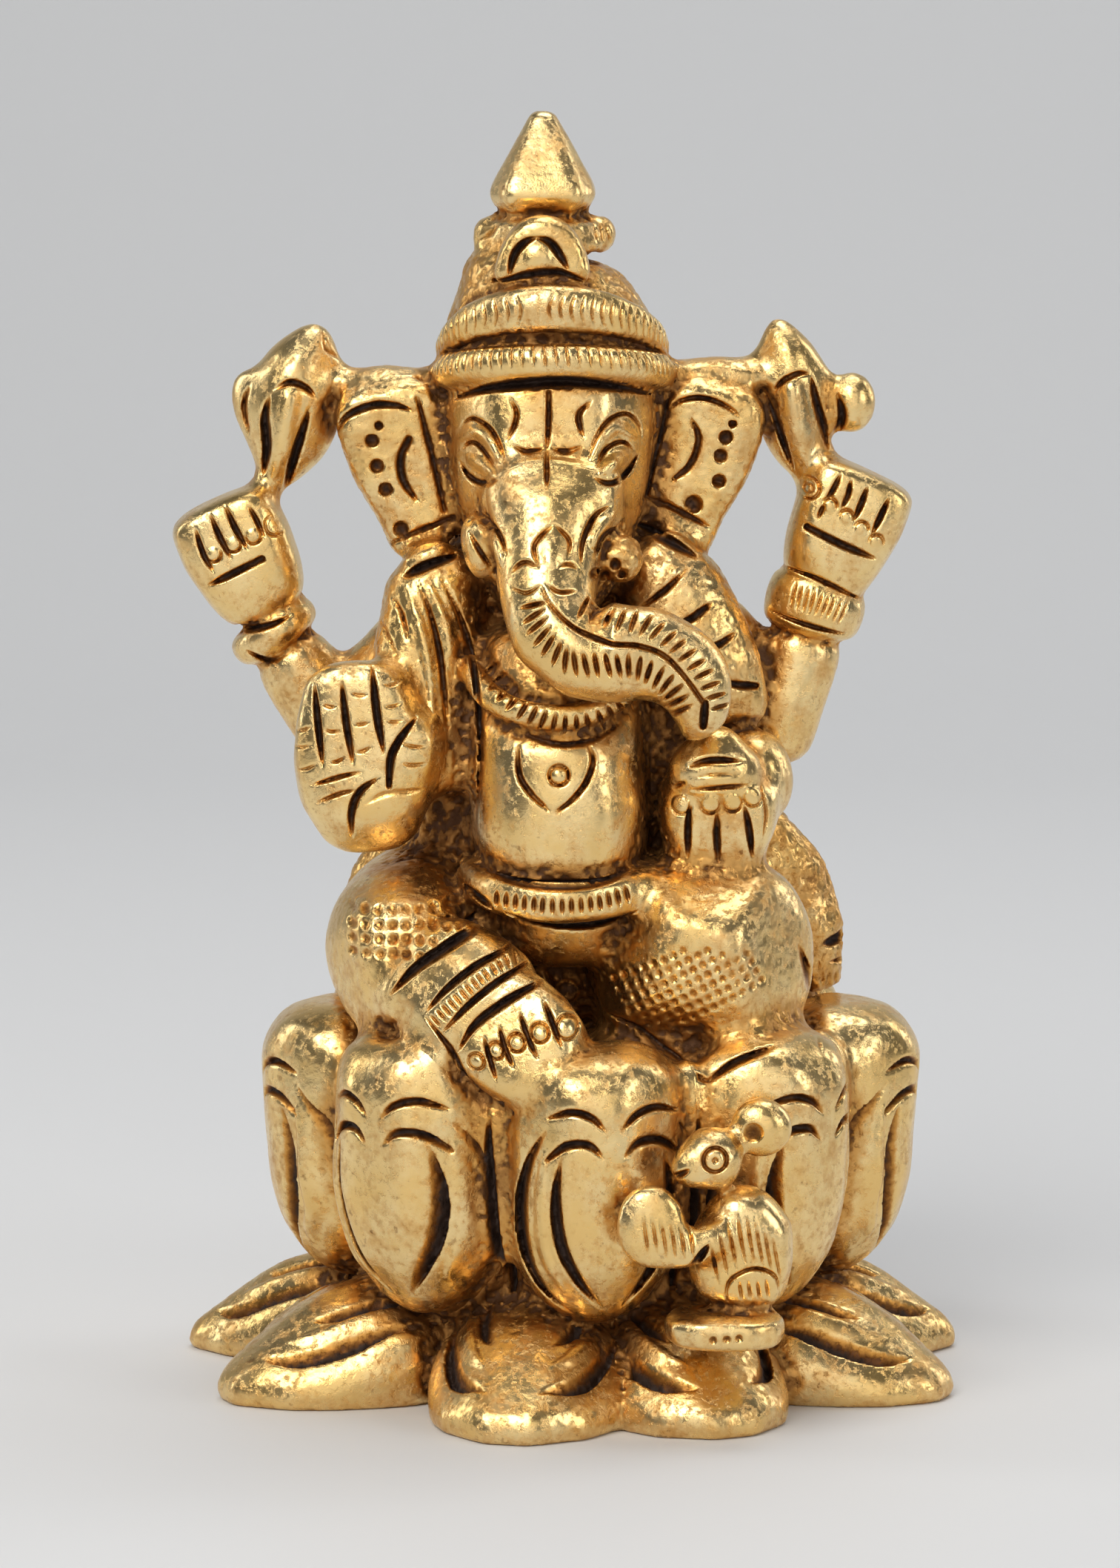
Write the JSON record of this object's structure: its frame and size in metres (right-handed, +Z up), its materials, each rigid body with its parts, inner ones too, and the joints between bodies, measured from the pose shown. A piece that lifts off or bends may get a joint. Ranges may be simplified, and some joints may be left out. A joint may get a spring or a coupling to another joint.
{
  "type": "ganesha idol",
  "caption": "Small cast-brass figure of a seated elephant-headed deity with four arms and a tall crown, on a double lotus base with a mouse at its foot.",
  "frame": {"origin": "centre of the flat underside of the pedestal, on the surface that the idol stands on", "axes": "+Z up to the crown's finial, -Y the way the idol faces, +X the idol's own left, which is the viewer's right"},
  "size_m": [0.0476, 0.0452, 0.076],
  "materials": {
    "brass_polished": "hand-burnished on the high places, chisel cuts dark with old patina",
    "brass_rubbed": "cast skin rubbed half bright, brown patina left in the grain",
    "brass_darkened": "as-cast skin with brown-black patina, not reached by the buff"
  },
  "bodies": {
    "root": {"back_bolster": "brass_rubbed", "belly": "brass_polished", "crown_collar": "brass_polished", "crown_crest": "brass_polished", "crown_dome": "brass_polished", "crown_finial": "brass_polished", "crown_lower_band": "brass_polished", "crown_upper_band": "brass_polished", "head": "brass_polished", "left_bangle": "brass_polished", "left_broken_tusk": "brass_polished", "left_ear": "brass_polished", "left_folded_leg": "brass_polished", "left_front_hand": "brass_polished", "left_goad_head": "brass_polished", "left_goad_knob": "brass_polished", "left_rear_arm": "brass_polished", "left_rear_fist": "brass_polished", "left_web": "brass_rubbed", "lower_petal_1": "brass_rubbed", "lower_petal_2": "brass_rubbed", "lower_petal_3": "brass_rubbed", "lower_petal_4": "brass_rubbed", "lower_petal_5": "brass_rubbed", "lower_petal_6": "brass_rubbed", "lower_petal_7": "brass_rubbed", "lower_petal_8": "brass_rubbed", "lower_petal_9": "brass_rubbed", "modak": "brass_polished", "mouse_body": "brass_polished", "mouse_ear": "brass_polished", "mouse_head": "brass_polished", "mouse_slab": "brass_polished", "mouse_sweet_and_arm": "brass_polished", "necklace": "brass_polished", "pedestal_core": "brass_darkened", "right_axe_head": "brass_polished", "right_bangle": "brass_polished", "right_ear": "brass_polished", "right_foot": "brass_polished", "right_front_hand": "brass_polished", "right_rear_arm": "brass_polished", "right_rear_fist": "brass_polished", "right_shin_anklets": "brass_polished", "right_thigh": "brass_polished", "right_tusk": "brass_polished", "right_web": "brass_rubbed", "shawl_left_fall": "brass_polished", "shawl_right_fall": "brass_polished", "torso": "brass_polished", "trunk": "brass_polished", "upper_petal_1": "brass_polished", "upper_petal_2": "brass_polished", "upper_petal_3": "brass_polished", "upper_petal_4": "brass_polished", "upper_petal_5": "brass_polished", "upper_petal_6": "brass_polished", "upper_petal_7": "brass_polished", "upper_petal_8": "brass_polished", "waist_belt": "brass_polished"}
  },
  "joints": []
}
